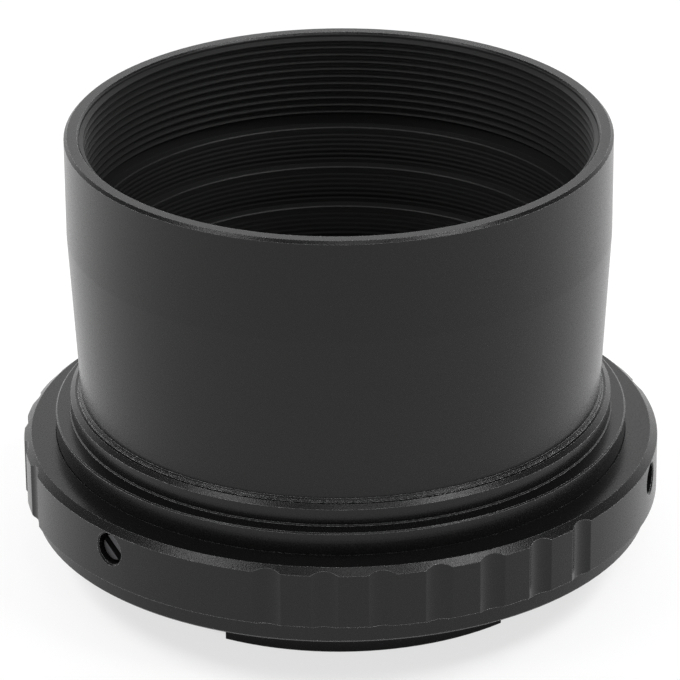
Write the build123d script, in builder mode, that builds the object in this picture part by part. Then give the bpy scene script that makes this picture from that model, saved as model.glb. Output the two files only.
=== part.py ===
from build123d import *
import os
from math import cos, radians, sin, tan

# Telescope camera adapter in millimetres.
# A two inch nosepiece screws into the threaded insert of a camera lens mount ring.
# Three set screws lock the insert, and a bayonet plate underneath fits the camera.
# The optical axis is Z with the nose up. The origin is the centre of the bayonet's lower end.
# Angles round the axis are counted from the front, which is -Y, towards +X.

# Clearances
turning_clearance = 0.05
seat_clearance = 0.02
screw_clearance = 0.03
tip_clearance = 0.04

# Nosepiece, outside
barrel_r = 25.4
barrel_length = 25.83
straight_length = 9.8
rim_chamfer = 0.27
taper_angle = 3.13
foot_ledge = 0.3
foot_edge_break = 0.06
foot_corner = 0.14
foot_groove_depth = 0.17
collar_overhang = 0.14
collar_height = 1.62
collar_chamfer_width = 0.44
collar_chamfer_height = 0.35
collar_toe_width = 0.1
collar_toe_height = 0.12
spigot_r = 20.7
spigot_length = 4.5
spigot_wall = 1.5
spigot_thread_pitch = 0.75
spigot_relief_length = 0.6

# Nosepiece, inside
barrel_wall = 1.4
filter_thread_pitch = 0.75
filter_thread_turns = 10
thread_depth_share = 0.5413
thread_crest_share = 0.125
thread_root_share = 0.25
thread_mouth_chamfer = 0.2
thread_mouth_length = 0.66
thread_relief_length = 1.34
baffle_zones = 4
baffle_length = 3.75
baffle_ledge = 1.0
baffle_edge_break = 0.1
rib_pitch = 0.5
rib_depth = 0.05
rib_flat_share = 0.2
rib_margin = 0.3

# Threaded insert
insert_wall = 6.22
insert_stand_out = 2.16
insert_edge_break = 0.12
insert_thread_margin = 0.2

# Grip ring
grip_wall = 3.02
grip_height = 5.9
grip_top_chamfer_width = 0.68
grip_top_chamfer_height = 0.58
grip_lower_break = 0.12
web_thickness = 1.7

# Flutes in the grip
flute_groups = 3
flutes_per_group = 7
flute_pitch_angle = 10.0
flute_group_angle = 17.0
flute_cutter_r = 2.4
flute_depth = 0.38
flute_edge_round = 0.25

# Set screws
set_screw_names = ("set_screw_front", "set_screw_right", "set_screw_back")
first_set_screw_angle = -45.0
set_screw_r = 1.5
set_screw_above_floor = 1.92
set_screw_recess = 0.55
set_screw_mouth = 0.15
set_screw_mouth_slope = 45.0
set_screw_slot_width = 0.8
set_screw_slot_depth = 0.6
set_screw_slot_tilt = -38.0
set_screw_pitch = 0.5
set_screw_tip_r = 0.3
set_screw_tip_depth = 0.93

# Bayonet plate
plate_step = 0.86
plate_thickness = 1.9
plate_lower_chamfer = 0.18
register_height = 1.3
register_step = 0.65
boss_r = 21.85
boss_height = 4.3
boss_wall = 2.25
throat_chamfer = 0.4
lug_reach = 1.4
lug_thickness = 1.5
lug_count = 3
lug_width_angle = 66.8
lug_centre_angle = 5.9
lug_root_overlap = 0.4
lug_edge_break = 0.12
lock_slot_width = 2.2
lock_slot_length = 2.0
lock_slot_depth = 1.1
lock_slot_angle = 96.0

# Plate screws
plate_screw_count = 3
plate_screw_r = 1.0
plate_screw_head_r = 1.8
plate_screw_head_rim = 0.2
plate_screw_head_slope = 45.0
plate_screw_length = 3.0
plate_screw_angle = 65.9
plate_screw_recess_width = 0.42
plate_screw_recess_span = 1.9
plate_screw_recess_depth = 0.65

# Levels worked out from the sizes above
flange_z = boss_height
plate_top_z = flange_z + plate_thickness
insert_floor_z = plate_top_z + web_thickness
grip_top_z = plate_top_z + grip_height
insert_bottom_z = insert_floor_z + seat_clearance
insert_top_z = grip_top_z + insert_stand_out
collar_z = insert_top_z + seat_clearance
collar_chamfer_z = collar_z + collar_height
collar_top_z = collar_chamfer_z + collar_chamfer_height
foot_z = collar_top_z + foot_groove_depth
rim_z = foot_z + barrel_length
set_screw_z = insert_floor_z + set_screw_above_floor
plate_screw_head_drop = plate_screw_head_r - plate_screw_r
plate_screw_cone_height = plate_screw_head_drop / tan(radians(plate_screw_head_slope))

# Radii worked out from the sizes above
collar_r = barrel_r + collar_overhang
filter_thread_r = barrel_r - barrel_wall
thread_depth = thread_depth_share * filter_thread_pitch
filter_minor_r = filter_thread_r - thread_depth
thread_flank = filter_thread_pitch * (1 - thread_crest_share - thread_root_share) / 2
spigot_thread_depth = thread_depth_share * spigot_thread_pitch
set_screw_thread_depth = thread_depth_share * set_screw_pitch
taper_top_z = rim_z - straight_length
taper_foot_r = barrel_r - (taper_top_z - foot_z) * tan(radians(taper_angle))
foot_corner_r = taper_foot_r + foot_corner * tan(radians(taper_angle))
spigot_bore_r = spigot_r - spigot_wall
insert_bore_r = spigot_r + turning_clearance
insert_r = insert_bore_r + insert_wall
counterbore_r = insert_r + turning_clearance
grip_r = counterbore_r + grip_wall
plate_r = grip_r - plate_step
throat_r = boss_r - boss_wall
lug_r = boss_r + lug_reach
register_r = boss_r + register_step
web_bore_r = register_r + seat_clearance
flange_middle_r = (boss_r + plate_r) / 2
set_screw_tip_at = insert_r - set_screw_tip_depth


def round_the_axis(radius, angle):
    """Point at a radius, at an angle from the front."""
    return (radius * sin(radians(angle)), -radius * cos(radians(angle)))


def grooves(crest_r, root_r, top_z, pitch, count, crest_flat, root_flat):
    """Outline of turned grooves going down from top_z, as radius and height pairs."""
    flank = (pitch - crest_flat - root_flat) / 2
    points = []
    for turn in range(count):
        z = top_z - turn * pitch
        points.append((crest_r, z))
        points.append((crest_r, z - crest_flat))
        points.append((root_r, z - crest_flat - flank))
        points.append((root_r, z - crest_flat - flank - root_flat))
    points.append((crest_r, top_z - count * pitch))
    return points


def thread(crest_r, root_r, top_z, pitch, count):
    """Outline of a thread drawn as rings, with standard crest and root flats."""
    crest_flat = thread_crest_share * pitch
    root_flat = thread_root_share * pitch
    return grooves(crest_r, root_r, top_z, pitch, count, crest_flat, root_flat)


def ribs(crest_r, top_z, length):
    """Outline of the fine ribs that fill a stretch of bore."""
    count = int((length - rib_margin) / rib_pitch)
    start = top_z - (length - count * rib_pitch) / 2
    flat = rib_flat_share * rib_pitch
    return grooves(crest_r, crest_r + rib_depth, start, rib_pitch, count, flat, flat)


# Nosepiece: barrel, collar and spigot turned from one bar
thread_top_z = rim_z - thread_mouth_length
thread_bottom_z = thread_top_z - filter_thread_turns * filter_thread_pitch
baffle_top_z = thread_bottom_z - thread_relief_length
spigot_bottom_z = collar_z - spigot_length

spigot_root_r = spigot_r - spigot_thread_depth
spigot_turns = int((spigot_length - spigot_relief_length - spigot_thread_depth) / spigot_thread_pitch)
spigot_thread_top_z = spigot_bottom_z + spigot_thread_depth + spigot_turns * spigot_thread_pitch
spigot_thread = thread(
    spigot_r,
    spigot_root_r,
    spigot_thread_top_z,
    spigot_thread_pitch,
    spigot_turns,
)

nosepiece_outside = [
    (spigot_bore_r, spigot_bottom_z),
    (spigot_root_r, spigot_bottom_z),
    *reversed(spigot_thread),
    (spigot_root_r, spigot_thread_top_z + spigot_thread_depth),
    (spigot_root_r, collar_z),
    (collar_r + collar_toe_width, collar_z),
    (collar_r, collar_z + collar_toe_height),
    (collar_r, collar_chamfer_z),
    (collar_r - collar_chamfer_width, collar_top_z),
    (taper_foot_r + foot_ledge, collar_top_z),
    (taper_foot_r + foot_ledge, foot_z - foot_edge_break),
    (taper_foot_r + foot_ledge - foot_edge_break, foot_z),
    (taper_foot_r + foot_corner, foot_z),
    (foot_corner_r, foot_z + foot_corner),
    (barrel_r, taper_top_z),
    (barrel_r, rim_z - rim_chamfer),
    (barrel_r - rim_chamfer, rim_z),
    (filter_thread_r + thread_mouth_chamfer, rim_z),
    (filter_thread_r, rim_z - thread_mouth_chamfer),
    (filter_thread_r, thread_top_z + thread_flank),
]
nosepiece_inside = thread(
    filter_minor_r,
    filter_thread_r,
    thread_top_z,
    filter_thread_pitch,
    filter_thread_turns,
)
nosepiece_inside.append((filter_thread_r, thread_bottom_z - thread_depth))
nosepiece_inside.append((filter_thread_r, baffle_top_z))
for zone in range(baffle_zones):
    zone_r = filter_thread_r - (zone + 1) * baffle_ledge
    zone_top_z = baffle_top_z - zone * baffle_length
    nosepiece_inside.append((zone_r + baffle_edge_break, zone_top_z))
    nosepiece_inside.append((zone_r, zone_top_z - baffle_edge_break))
    nosepiece_inside += ribs(zone_r, zone_top_z, baffle_length)
    nosepiece_inside.append((zone_r, zone_top_z - baffle_length))
nosepiece_inside.append((spigot_bore_r, baffle_top_z - baffle_zones * baffle_length))

with BuildPart() as nosepiece:
    with BuildSketch(Plane.XZ):
        with BuildLine():
            Polyline(nosepiece_outside + nosepiece_inside, close=True)
        make_face()
    revolve(axis=Axis.Z)
nosepiece.part.label = "nosepiece"

# Threaded insert: the ring that the nosepiece screws into, free to turn in the grip ring
groove_floor_r = set_screw_tip_at - tip_clearance
groove_floor_half = set_screw_tip_r + tip_clearance
groove_mouth_half = groove_floor_half + insert_r - groove_floor_r
insert_root_r = insert_bore_r + spigot_thread_depth
insert_thread_room = insert_top_z - insert_bottom_z - 2 * insert_thread_margin - spigot_thread_depth
insert_turns = int(insert_thread_room / spigot_thread_pitch)
insert_thread_top_z = insert_top_z - insert_thread_margin - spigot_thread_depth
insert_thread = thread(
    insert_bore_r,
    insert_root_r,
    insert_thread_top_z,
    spigot_thread_pitch,
    insert_turns,
)

with BuildPart() as threaded_insert:
    with BuildSketch(Plane.XZ):
        with BuildLine():
            Polyline(
                (insert_root_r, insert_bottom_z),
                (insert_r - insert_edge_break, insert_bottom_z),
                (insert_r, insert_bottom_z + insert_edge_break),
                (insert_r, set_screw_z - groove_mouth_half),
                (groove_floor_r, set_screw_z - groove_floor_half),
                (groove_floor_r, set_screw_z + groove_floor_half),
                (insert_r, set_screw_z + groove_mouth_half),
                (insert_r, insert_top_z - insert_edge_break),
                (insert_r - insert_edge_break, insert_top_z),
                (insert_root_r, insert_top_z),
                (insert_root_r, insert_top_z - insert_thread_margin),
                *insert_thread,
                (insert_root_r, insert_thread[-1][1] - spigot_thread_depth),
                close=True,
            )
        make_face()
    revolve(axis=Axis.Z)
threaded_insert.part.label = "threaded_insert"

# Grip ring: the fluted outer body that carries the insert and the plate
set_screw_count = len(set_screw_names)
set_screw_angles = [
    first_set_screw_angle + turn * 360 / set_screw_count for turn in range(set_screw_count)
]
plate_screw_angles = [
    plate_screw_angle + turn * 360 / plate_screw_count for turn in range(plate_screw_count)
]
plate_screw_places = [round_the_axis(flange_middle_r, angle) for angle in plate_screw_angles]
flute_angles = []
for group in range(flute_groups):
    for flute in range(flutes_per_group):
        from_middle = (flute - (flutes_per_group - 1) / 2) * flute_pitch_angle
        flute_angles.append(flute_group_angle + group * 360 / flute_groups + from_middle)
flute_centre_r = grip_r - flute_depth + flute_cutter_r
flute_places = [round_the_axis(flute_centre_r, angle) for angle in flute_angles]


def screw_plane(angle, radius):
    """Plane square to a set screw's axis, facing outwards, with its x level."""
    x, y = round_the_axis(radius, angle)
    outwards = (*round_the_axis(1, angle), 0)
    level = (*round_the_axis(1, angle + 90), 0)
    return Plane(origin=(x, y, set_screw_z), x_dir=level, z_dir=outwards)


with BuildPart() as grip_ring:
    with BuildSketch(Plane.XY.offset(plate_top_z)) as grip_outline:
        Circle(grip_r)
        with Locations(*flute_places):
            Circle(flute_cutter_r, mode=Mode.SUBTRACT)
        fillet(grip_outline.vertices(), flute_edge_round)
    extrude(amount=grip_height)
    with BuildSketch(Plane.XZ):
        with BuildLine():
            Polyline(
                (web_bore_r, plate_top_z),
                (grip_r - grip_lower_break, plate_top_z),
                (grip_r, plate_top_z + grip_lower_break),
                (grip_r, grip_top_z - grip_top_chamfer_height),
                (grip_r - grip_top_chamfer_width, grip_top_z),
                (counterbore_r, grip_top_z),
                (counterbore_r, insert_floor_z),
                (web_bore_r, insert_floor_z),
                close=True,
            )
        make_face()
    revolve(axis=Axis.Z, mode=Mode.INTERSECT)
    for angle in set_screw_angles:
        with BuildSketch(screw_plane(angle, grip_r)):
            Circle(set_screw_r)
        extrude(amount=-(grip_r - counterbore_r + turning_clearance), mode=Mode.SUBTRACT)
        with BuildSketch(screw_plane(angle, grip_r)):
            Circle(set_screw_r + set_screw_mouth)
        extrude(amount=-set_screw_mouth, taper=set_screw_mouth_slope, mode=Mode.SUBTRACT)
    with BuildSketch(Plane.XY.offset(plate_top_z)):
        with Locations(*plate_screw_places):
            Circle(plate_screw_r + screw_clearance)
    extrude(amount=web_thickness, mode=Mode.SUBTRACT)
grip_ring.part.label = "grip_ring"

# Bayonet plate: flange, register, boss and three lugs
throat_length = boss_height + plate_thickness + register_height
throat_ribs = ribs(throat_r, plate_top_z + register_height, throat_length - throat_chamfer)
lug_root_r = boss_r - lug_root_overlap

with BuildPart() as bayonet_plate:
    with BuildSketch(Plane.XZ):
        with BuildLine():
            Polyline(
                (throat_r + throat_chamfer, 0),
                (boss_r, 0),
                (boss_r, flange_z),
                (plate_r - plate_lower_chamfer, flange_z),
                (plate_r, flange_z + plate_lower_chamfer),
                (plate_r, plate_top_z),
                (register_r, plate_top_z),
                (register_r, plate_top_z + register_height),
                (throat_r, plate_top_z + register_height),
                *throat_ribs,
                (throat_r, throat_chamfer),
                close=True,
            )
        make_face()
    revolve(axis=Axis.Z)
    with BuildSketch(Plane.XY):
        for lug in range(lug_count):
            middle = lug_centre_angle + lug * 360 / lug_count
            first = middle - lug_width_angle / 2
            last = middle + lug_width_angle / 2
            with BuildLine():
                ThreePointArc(*[round_the_axis(lug_r, angle) for angle in (first, middle, last)])
                Line(round_the_axis(lug_r, last), round_the_axis(lug_root_r, last))
                ThreePointArc(*[round_the_axis(lug_root_r, angle) for angle in (last, middle, first)])
                Line(round_the_axis(lug_root_r, first), round_the_axis(lug_r, first))
            make_face()
    extrude(amount=lug_thickness)
    lug_arcs = bayonet_plate.edges().filter_by(GeomType.CIRCLE)
    lug_arcs = lug_arcs.filter_by(lambda edge: abs(edge.radius - lug_r) < lug_edge_break)
    chamfer(lug_arcs.group_by(Axis.Z)[0], lug_edge_break)
    with BuildSketch(Plane.XY.offset(flange_z)):
        with Locations(*plate_screw_places):
            Circle(plate_screw_r + screw_clearance)
    extrude(amount=plate_thickness, mode=Mode.SUBTRACT)
    with BuildSketch(Plane.XY.offset(flange_z)):
        with Locations(*plate_screw_places):
            Circle(plate_screw_head_r + screw_clearance)
    extrude(amount=plate_screw_head_rim, mode=Mode.SUBTRACT)
    with BuildSketch(Plane.XY.offset(flange_z + plate_screw_head_rim)):
        with Locations(*plate_screw_places):
            Circle(plate_screw_head_r + screw_clearance)
    extrude(amount=plate_screw_cone_height, taper=plate_screw_head_slope, mode=Mode.SUBTRACT)
    with BuildSketch(Plane.XY.offset(flange_z)):
        with Locations(round_the_axis(flange_middle_r, lock_slot_angle)):
            SlotCenterToCenter(lock_slot_length, lock_slot_width, rotation=lock_slot_angle - 90)
    extrude(amount=lock_slot_depth, mode=Mode.SUBTRACT)
bayonet_plate.part.label = "bayonet_plate"

# Plate screws: countersunk, with cross recesses and heads flush with the flange
with BuildPart() as plate_screws:
    with BuildSketch(Plane.XY.offset(flange_z)):
        with Locations(*plate_screw_places):
            Circle(plate_screw_head_r)
    extrude(amount=plate_screw_head_rim)
    with BuildSketch(Plane.XY.offset(flange_z + plate_screw_head_rim)):
        with Locations(*plate_screw_places):
            Circle(plate_screw_head_r)
    extrude(amount=plate_screw_cone_height, taper=plate_screw_head_slope)
    with BuildSketch(Plane.XY.offset(flange_z)):
        with Locations(*plate_screw_places):
            Circle(plate_screw_r)
    extrude(amount=plate_screw_length)
    with BuildSketch(Plane.XY.offset(flange_z)):
        with Locations(*plate_screw_places):
            Rectangle(plate_screw_recess_span, plate_screw_recess_width)
            Rectangle(plate_screw_recess_width, plate_screw_recess_span)
    extrude(amount=plate_screw_recess_depth, mode=Mode.SUBTRACT)
plate_screws.part.label = "plate_screws"

# Set screws: slotted, threaded, with cone points that sit in the insert's groove
set_screw_body_r = set_screw_r - screw_clearance
set_screw_root_r = set_screw_body_r - set_screw_thread_depth
set_screw_face_at = grip_r - set_screw_recess
set_screw_length = set_screw_face_at - set_screw_tip_at
set_screw_point_length = set_screw_body_r - set_screw_tip_r
set_screw_thread_length = set_screw_length - set_screw_point_length - set_screw_thread_depth
set_screw_turns = int(set_screw_thread_length / set_screw_pitch)
set_screw_thread_at = set_screw_length - set_screw_point_length
set_screw_thread = thread(
    set_screw_body_r,
    set_screw_root_r,
    set_screw_thread_at,
    set_screw_pitch,
    set_screw_turns,
)

set_screws = []
for name, angle in zip(set_screw_names, set_screw_angles):
    face = screw_plane(angle, set_screw_face_at)
    along = Plane(origin=face.origin, x_dir=face.x_dir, z_dir=(0, 0, 1))
    with BuildPart() as set_screw:
        with BuildSketch(along):
            with BuildLine():
                Polyline(
                    (0, 0),
                    (set_screw_root_r, 0),
                    *reversed(set_screw_thread),
                    (set_screw_tip_r, set_screw_length),
                    (0, set_screw_length),
                    close=True,
                )
            make_face()
        revolve(axis=Axis(along.origin, along.y_dir))
        with BuildSketch(face):
            with Locations(Rotation(0, 0, set_screw_slot_tilt)):
                Rectangle(2 * set_screw_r, set_screw_slot_width)
        extrude(amount=-set_screw_slot_depth, mode=Mode.SUBTRACT)
    set_screw.part.label = name
    set_screws.append(set_screw)

os.makedirs("parts", exist_ok=True)
export_step(nosepiece.part, "parts/nosepiece.step")
export_step(threaded_insert.part, "parts/threaded_insert.step")
export_step(grip_ring.part, "parts/grip_ring.step")
export_step(bayonet_plate.part, "parts/bayonet_plate.step")
export_step(plate_screws.part, "parts/plate_screws.step")
for name, set_screw in zip(set_screw_names, set_screws):
    export_step(set_screw.part, f"parts/{name}.step")
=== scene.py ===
import math

import bpy
from mathutils import Matrix, Vector

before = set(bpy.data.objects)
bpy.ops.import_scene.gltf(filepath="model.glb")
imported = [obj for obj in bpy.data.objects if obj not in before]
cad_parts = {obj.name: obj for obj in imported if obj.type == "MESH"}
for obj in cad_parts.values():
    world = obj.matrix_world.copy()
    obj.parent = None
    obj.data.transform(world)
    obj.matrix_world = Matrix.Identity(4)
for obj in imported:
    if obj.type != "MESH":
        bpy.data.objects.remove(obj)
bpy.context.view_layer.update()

mm = 0.001

# The adapter stands on its bayonet, nose up. Z is the optical axis and -Y faces the camera.
# Sizes of finishes and the camera's place are in millimetres, and the studio's are in metres.


def linearColour(hexColour):
    parts = [int(hexColour[i:i + 2], 16) / 255 for i in (1, 3, 5)]
    linear = [p / 12.92 if p <= 0.04045 else ((p + 0.055) / 1.055) ** 2.4 for p in parts]
    return (*linear, 1)


def addNode(tree, kind, settings=None, inputs=None):
    node = tree.nodes.new(kind)
    for name, value in (settings or {}).items():
        setattr(node, name, value)
    for name, value in (inputs or {}).items():
        if isinstance(value, bpy.types.NodeSocket):
            tree.links.new(value, node.inputs[name])
        else:
            node.inputs[name].default_value = value
    return node


def newMaterial(name):
    material = bpy.data.materials.new(name)
    material.use_nodes = True
    tree = material.node_tree
    tree.nodes.clear()
    shader = addNode(tree, "ShaderNodeBsdfPrincipled")
    addNode(tree, "ShaderNodeOutputMaterial", inputs={"Surface": shader.outputs[0]})
    return material, tree, shader


# Black anodised aluminium: a dyed oxide skin over a fine turned surface. It is almost black face on
# and goes pale at glancing angles. Tool marks run round the axis and the skin has a fine grain,
# deeper on the chamfers and drawn a little coarser than the real one so that it shows. The sharp
# edges are lighter and partly metallic in specks: partly real rubbed wear, partly a painted highlight.
anodised = {
    "colour": "#0d0d0d",
    "specular": 0.32,
    "roughness": 0.26,
    "roughnessSpread": 0.04,
    "markSpacing": 0.09,
    "markDepth": 0.0035,
    "grainSize": 0.15,
    "grainDepth": 0.0012,
    "chamferGrainDepth": 0.014,
    "chamferSlope": (0.3, 0.45),    # upward share of a face's normal where walls end and chamfers start
    "flatSlope": (0.93, 0.98),    # the same where chamfers end and flats start
    "grainRange": (0.3, 0.7),
    "detail": 2,
    "edgeRadius": 0.06,
    "edgeSamples": 6,
    # The edge colour and metal below are partly real rubbed wear and partly a painted highlight on the
    # edges
    "wearAndHighlightColour": "#b4b4b6",
    "wearAndHighlightMetal": 0.22,
    "wearAndHighlightFrom": (0.02, 0.13),
    "wearAndHighlightSize": 0.35,
    "wearAndHighlightDetail": 3,
    "wearAndHighlightRange": (0.35, 0.6),
    "wearAndHighlightLeast": 0.3,
    "bore": None,
}
# The bore is left rougher, so that it scatters stray light: a dull dark grey with soft thread lines.
bore = {
    "radius": 24.05,
    "top": 42.2,
    "colour": "#1e1e1e",
    "roughness": 0.46,
}
nose = {**anodised, "wearAndHighlightMetal": 0.13, "bore": bore}


def anodisedAluminium(name, finish):
    material, tree, shader = newMaterial(name)
    shader.inputs["Specular IOR Level"].default_value = finish["specular"]
    place = addNode(tree, "ShaderNodeTexCoord").outputs["Object"]
    x, y, z = addNode(tree, "ShaderNodeSeparateXYZ", inputs={0: place}).outputs
    flat = addNode(tree, "ShaderNodeCombineXYZ", inputs={0: x, 1: y}).outputs[0]
    radius = addNode(tree, "ShaderNodeVectorMath", {"operation": "LENGTH"}, {0: flat}).outputs["Value"]
    trueNormal = addNode(tree, "ShaderNodeNewGeometry").outputs["True Normal"]
    edge = addNode(tree, "ShaderNodeBevel", {"samples": finish["edgeSamples"]},
                   {"Radius": finish["edgeRadius"] * mm}).outputs[0]

    # Tool marks depend only on radius and height, so they run round
    turned = addNode(tree, "ShaderNodeCombineXYZ", inputs={0: radius, 1: z}).outputs[0]
    marks = addNode(tree, "ShaderNodeTexNoise", {"noise_dimensions": "2D"}, {
        "Vector": turned, "Scale": 1 / (finish["markSpacing"] * mm), "Detail": finish["detail"]})
    markBump = addNode(tree, "ShaderNodeBump", inputs={
        "Height": marks.outputs[0], "Distance": finish["markDepth"] * mm, "Strength": 1, "Normal": edge})

    # Grain, deeper where a face leans
    grain = addNode(tree, "ShaderNodeTexNoise", {"noise_dimensions": "3D"}, {
        "Vector": place, "Scale": 1 / (finish["grainSize"] * mm), "Detail": finish["detail"]}).outputs[0]
    upward = addNode(tree, "ShaderNodeSeparateXYZ", inputs={0: trueNormal}).outputs[2]
    slope = addNode(tree, "ShaderNodeMath", {"operation": "ABSOLUTE"}, {0: upward}).outputs[0]
    (wallEnd, chamferStart), (chamferEnd, flatStart) = finish["chamferSlope"], finish["flatSlope"]
    notWall = addNode(tree, "ShaderNodeMapRange", inputs={
        "Value": slope, "From Min": wallEnd, "From Max": chamferStart})
    notFlat = addNode(tree, "ShaderNodeMapRange", inputs={
        "Value": slope, "From Min": chamferEnd, "From Max": flatStart, "To Min": 1, "To Max": 0})
    leaning = addNode(tree, "ShaderNodeMath", {"operation": "MULTIPLY"},
                      {0: notWall.outputs[0], 1: notFlat.outputs[0]})
    grainStrength = addNode(tree, "ShaderNodeMapRange", inputs={
        "Value": leaning.outputs[0], "To Min": finish["grainDepth"] / finish["chamferGrainDepth"]})
    grainBump = addNode(tree, "ShaderNodeBump", inputs={
        "Height": grain, "Distance": finish["chamferGrainDepth"] * mm,
        "Strength": grainStrength.outputs[0], "Normal": markBump.outputs[0]})
    tree.links.new(grainBump.outputs[0], shader.inputs["Normal"])
    grainLow, grainHigh = finish["grainRange"]
    rough = addNode(tree, "ShaderNodeMapRange", inputs={
        "Value": grain, "From Min": grainLow, "From Max": grainHigh,
        "To Min": finish["roughness"] - finish["roughnessSpread"],
        "To Max": finish["roughness"] + finish["roughnessSpread"]}).outputs[0]

    # An edge is where the rounded normal leaves the true one. It is lightened in patches: partly rubbed
    # wear, partly a painted highlight
    turn = addNode(tree, "ShaderNodeVectorMath", {"operation": "DOT_PRODUCT"}, {0: edge, 1: trueNormal})
    wearAndHighlightStart, wearAndHighlightFull = finish["wearAndHighlightFrom"]
    atEdge = addNode(tree, "ShaderNodeMapRange", inputs={
        "Value": turn.outputs["Value"], "From Min": 1 - wearAndHighlightStart, "From Max": 1 - wearAndHighlightFull})
    patches = addNode(tree, "ShaderNodeTexNoise", {"noise_dimensions": "3D"}, {
        "Vector": place, "Scale": 1 / (finish["wearAndHighlightSize"] * mm), "Detail": finish["wearAndHighlightDetail"]})
    patchLow, patchHigh = finish["wearAndHighlightRange"]
    patchy = addNode(tree, "ShaderNodeMapRange", inputs={
        "Value": patches.outputs[0], "From Min": patchLow, "From Max": patchHigh,
        "To Min": finish["wearAndHighlightLeast"]})
    wearAndHighlight = addNode(tree, "ShaderNodeMath", {"operation": "MULTIPLY"},
                     {0: atEdge.outputs[0], 1: patchy.outputs[0]}).outputs[0]
    metal = addNode(tree, "ShaderNodeMath", {"operation": "MULTIPLY"},
                    {0: wearAndHighlight, 1: finish["wearAndHighlightMetal"]})
    tree.links.new(metal.outputs[0], shader.inputs["Metallic"])
    skin = addNode(tree, "ShaderNodeMix", {"data_type": "RGBA"}, {
        "Factor": wearAndHighlight, 6: linearColour(finish["colour"]), 7: linearColour(finish["wearAndHighlightColour"])})
    colour = skin.outputs[2]

    inside = finish["bore"]
    if inside:
        near = addNode(tree, "ShaderNodeMath", {"operation": "LESS_THAN"},
                       {0: radius, 1: inside["radius"] * mm})
        below = addNode(tree, "ShaderNodeMath", {"operation": "LESS_THAN"}, {0: z, 1: inside["top"] * mm})
        inBore = addNode(tree, "ShaderNodeMath", {"operation": "MULTIPLY"},
                         {0: near.outputs[0], 1: below.outputs[0]}).outputs[0]
        colour = addNode(tree, "ShaderNodeMix", {"data_type": "RGBA"}, {
            "Factor": inBore, 6: colour, 7: linearColour(inside["colour"])}).outputs[2]
        rough = addNode(tree, "ShaderNodeMix", {"data_type": "FLOAT"}, {
            "Factor": inBore, 2: rough, 3: inside["roughness"]}).outputs[0]
    tree.links.new(colour, shader.inputs["Base Color"])
    tree.links.new(rough, shader.inputs["Roughness"])
    return material


# Blackened steel: black oxide on small screws, a dull grey sheen beside the anodised parts.
blackened = {
    "colour": "#48484a",
    "metallic": 0.9,
    "roughness": 0.4,
}


def blackenedSteel(name, finish):
    material, tree, shader = newMaterial(name)
    shader.inputs["Base Color"].default_value = linearColour(finish["colour"])
    shader.inputs["Metallic"].default_value = finish["metallic"]
    shader.inputs["Roughness"].default_value = finish["roughness"]
    return material


finishes = {
    "nosepiece": anodisedAluminium("anodised_nosepiece_fine_turned", nose),
    "ring": anodisedAluminium("anodised_ring_satin", anodised),
    "plate": anodisedAluminium("anodised_plate_satin", anodised),
    "screws": blackenedSteel("blackened_steel_screws", blackened),
}
nodeFinish = {
    "nosepiece": "nosepiece",
    "threaded_insert": "ring",
    "grip_ring": "ring",
    "bayonet_plate": "plate",
    "plate_screws": "screws",
    "set_screw_front": "screws",
    "set_screw_right": "screws",
    "set_screw_back": "screws",
}
for nodeName, finishName in nodeFinish.items():
    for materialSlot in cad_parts[nodeName].material_slots:
        materialSlot.material = finishes[finishName]
print("finishes on")

# Camera
cameraPlace = {
    "distance": 456.63,
    "elevation": 25.409,
    "target": (-0.011, 0, 20.698),
    "roll": 0.399,
    "focalPixels": 4845,
    "frameWidth": 680,
    "sensor": 36,
}
cameraData = bpy.data.cameras.new("camera")
cameraData.sensor_width = cameraPlace["sensor"]
cameraData.lens = cameraPlace["sensor"] * cameraPlace["focalPixels"] / cameraPlace["frameWidth"]
camera = bpy.data.objects.new("camera", cameraData)
bpy.context.scene.collection.objects.link(camera)
rise = math.radians(cameraPlace["elevation"])
roll = math.radians(cameraPlace["roll"])
away = Vector((0, -math.cos(rise), math.sin(rise))) * cameraPlace["distance"]
camera.location = (Vector(cameraPlace["target"]) + away) * mm
tilt = Matrix.Rotation(math.pi / 2 - rise, 3, "X") @ Matrix.Rotation(-roll, 3, "Z")
camera.rotation_euler = tilt.to_euler()
bpy.context.scene.camera = camera
print("camera set")

# White paper: a matt sheet. What the camera and reflections see of it is partly lit from within, so it
# stays white and keeps a soft shadow. The glow that reflections see is cut back under the ring, a painted
# shadow there, and the glow is left out in the throat, so the paper there stays dim.
paperFloor = {
    "size": 6.0,
    "colour": "#fafafa",
    "roughness": 0.9,
    "glow": 0.7,
    "paintedShadowUnderRing": (0.024, 0.031),
    "paintedShadowUnderRingShare": 0.25,
    "underThroat": (0.019, 0.0225),
}
bpy.ops.mesh.primitive_plane_add(size=paperFloor["size"], location=(0, 0, 0))
floor = bpy.context.active_object
floor.name = "floor"
paper, paperTree, paperShader = newMaterial("white_paper")
paperShader.inputs["Base Color"].default_value = linearColour(paperFloor["colour"])
paperShader.inputs["Roughness"].default_value = paperFloor["roughness"]
paperShader.inputs["Specular IOR Level"].default_value = 0
rays = addNode(paperTree, "ShaderNodeLightPath").outputs
paperPlace = addNode(paperTree, "ShaderNodeTexCoord").outputs["Object"]
fromAxis = addNode(paperTree, "ShaderNodeVectorMath", {"operation": "LENGTH"},
                   {0: paperPlace}).outputs["Value"]
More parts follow.
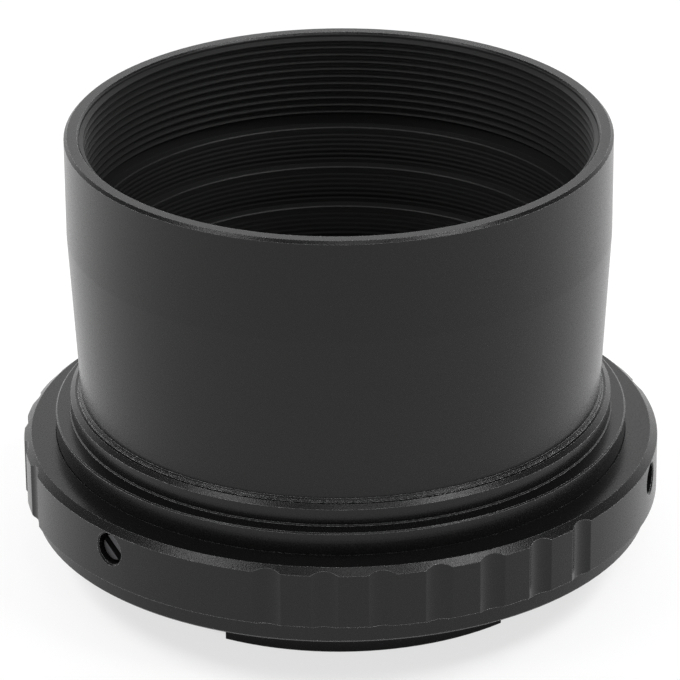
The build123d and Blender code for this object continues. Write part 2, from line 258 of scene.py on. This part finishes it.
# Reflections see less of the paper's glow under the ring: a painted shadow
paintedShadowInner, paintedShadowOuter = paperFloor["paintedShadowUnderRing"]
paintedShadowUnderRingFade = addNode(paperTree, "ShaderNodeMapRange", inputs={
    "Value": fromAxis, "From Min": paintedShadowInner, "From Max": paintedShadowOuter, "To Min": paperFloor["paintedShadowUnderRingShare"]})
reflected = addNode(paperTree, "ShaderNodeMath", {"operation": "MULTIPLY"},
                    {0: rays["Is Glossy Ray"], 1: paintedShadowUnderRingFade.outputs[0]})
seen = addNode(paperTree, "ShaderNodeMath", {"operation": "ADD"},
               {0: rays["Is Camera Ray"], 1: reflected.outputs[0]})
seen = addNode(paperTree, "ShaderNodeMath", {"operation": "ADD", "use_clamp": True},
               {0: seen.outputs[0], 1: rays["Is Transmission Ray"]})
throatDark, throatClear = paperFloor["underThroat"]
openPaper = addNode(paperTree, "ShaderNodeMapRange", inputs={
    "Value": fromAxis, "From Min": throatDark, "From Max": throatClear, "To Max": paperFloor["glow"]})
share = addNode(paperTree, "ShaderNodeMath", {"operation": "MULTIPLY"},
                {0: seen.outputs[0], 1: openPaper.outputs[0]})
glow = addNode(paperTree, "ShaderNodeEmission", inputs={"Strength": 1})
fromAbove = addNode(paperTree, "ShaderNodeMixShader", inputs={
    0: share.outputs[0], 1: paperShader.outputs[0], 2: glow.outputs[0]})
# From below the paper is clear, so that the bayonet can be looked at
backfacing = addNode(paperTree, "ShaderNodeNewGeometry").outputs["Backfacing"]
clear = addNode(paperTree, "ShaderNodeBsdfTransparent")
oneSided = addNode(paperTree, "ShaderNodeMixShader", inputs={
    0: backfacing, 1: fromAbove.outputs[0], 2: clear.outputs[0]})
paperTree.links.new(oneSided.outputs[0], paperTree.nodes["Material Output"].inputs["Surface"])
floor.data.materials.append(paper)
print("paper laid")

# A soft room all round, and a bright panel behind the object. Each level goes with a height, which is
# the upward share of the direction.
room = {
    "levels": ((0, 1.1), (0.2, 1.25), (0.28, 0.85), (0.34, 0.6), (0.42, 0.45), (0.5, 0.25), (0.6, 0.18),
               (1, 0.3)),
    "panelLevels": ((0, 0.2), (0.2, 0.25), (0.34, 0.65), (0.45, 0.85), (0.5, 0.85), (0.56, 0.1), (0.6, 0)),
    "panelEdge": (0.45, 0.85),
    "topLevel": 2.0,    # above every level, because a colour ramp holds 0 to 1
}
world = bpy.data.worlds.new("studio")
bpy.context.scene.world = world
world.use_nodes = True
sky = world.node_tree
sky.nodes.clear()
direction = addNode(sky, "ShaderNodeTexCoord").outputs["Generated"]
_, backward, height = addNode(sky, "ShaderNodeSeparateXYZ", inputs={0: direction}).outputs


def levelsByHeight(stops):
    levels = addNode(sky, "ShaderNodeValToRGB", inputs={"Fac": height})
    ramp = levels.color_ramp
    while len(ramp.elements) < len(stops):
        ramp.elements.new(1)
    for stop, (position, level) in zip(ramp.elements, stops):
        stop.position = position
        stop.color = (*[level / room["topLevel"]] * 3, 1)
    return levels.outputs[0]


panelStart, panelFull = room["panelEdge"]
behind = addNode(sky, "ShaderNodeMapRange", {"interpolation_type": "SMOOTHSTEP"}, {
    "Value": backward, "From Min": panelStart, "From Max": panelFull})
panel = addNode(sky, "ShaderNodeVectorMath", {"operation": "SCALE"}, {
    0: levelsByHeight(room["panelLevels"]), "Scale": behind.outputs[0]})
light = addNode(sky, "ShaderNodeVectorMath", {"operation": "ADD"}, {
    0: levelsByHeight(room["levels"]), 1: panel.outputs[0]})
background = addNode(sky, "ShaderNodeBackground", inputs={
    "Color": light.outputs[0], "Strength": room["topLevel"]})
addNode(sky, "ShaderNodeOutputWorld", inputs={"Surface": background.outputs[0]})
print("room lit")

# Three soft boxes overhead, by direction and power
overhead = {
    "aim": (0, 0, 0.02),
    "distance": 0.6,
    "size": 0.2,
    "boxes": {
        "left": ((-0.504, -0.164, 0.848), 0.5),
        "right": ((0.47, -0.19, 0.862), 0.75),
        "front": ((0.06, -0.4, 0.9), 0.2),
    },
}
# Two small lamps over the paper beside the object, which its gloss doesn't show
paperLamps = {
    "place": (0.17, 0.03, 0.16),
    "size": 0.1,
    "power": 0.4,
}


def softbox(name, place, aim, size, power):
    data = bpy.data.lights.new(name, "AREA")
    data.shape = "DISK"
    data.size = size
    data.energy = power
    lamp = bpy.data.objects.new(name, data)
    bpy.context.scene.collection.objects.link(lamp)
    lamp.location = place
    lamp.rotation_euler = (Vector(aim) - lamp.location).to_track_quat("-Z", "Y").to_euler()
    return lamp


aim = Vector(overhead["aim"])
for boxName, (toward, power) in overhead["boxes"].items():
    place = aim + Vector(toward).normalized() * overhead["distance"]
    softbox("softbox_overhead_" + boxName, place, aim, overhead["size"], power)
x, y, z = paperLamps["place"]
for lampName, side in (("left", -1), ("right", 1)):
    lamp = softbox("paper_lamp_" + lampName, (side * x, y, z), (side * x, y, 0),
                   paperLamps["size"], paperLamps["power"])
    lamp.visible_glossy = False
print("lamps set")

bpy.context.scene.view_settings.view_transform = "Standard"
